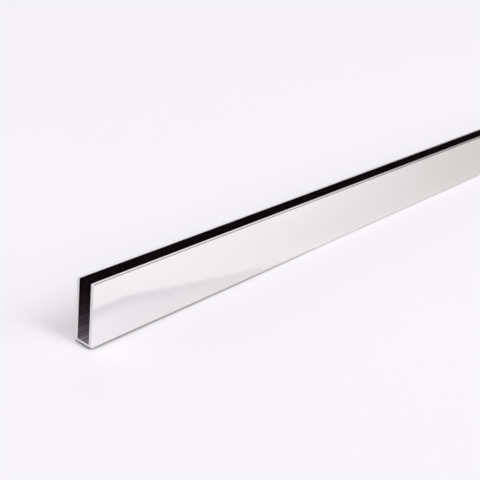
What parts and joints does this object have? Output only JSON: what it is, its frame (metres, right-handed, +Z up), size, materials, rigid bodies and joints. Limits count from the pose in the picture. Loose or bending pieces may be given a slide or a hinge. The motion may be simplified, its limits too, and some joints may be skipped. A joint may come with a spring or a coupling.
{
  "type": "aluminium u-channel profile",
  "caption": "Straight length of bright-polished aluminium U-channel: a narrow flat web with tall thin flanges and an open slot that holds the edge of a glass or board panel.",
  "frame": {"origin": "middle of the web's underside, halfway along the length, on the surface that the channel stands on", "axes": "+X along the extruded length, +Y across the web from the front flange to the back flange, +Z up out of the slot"},
  "size_m": [1, 0.01, 0.03],
  "materials": {
    "polished_aluminium": "bright polished"
  },
  "bodies": {
    "root": {"u_channel": "polished_aluminium"}
  },
  "joints": []
}
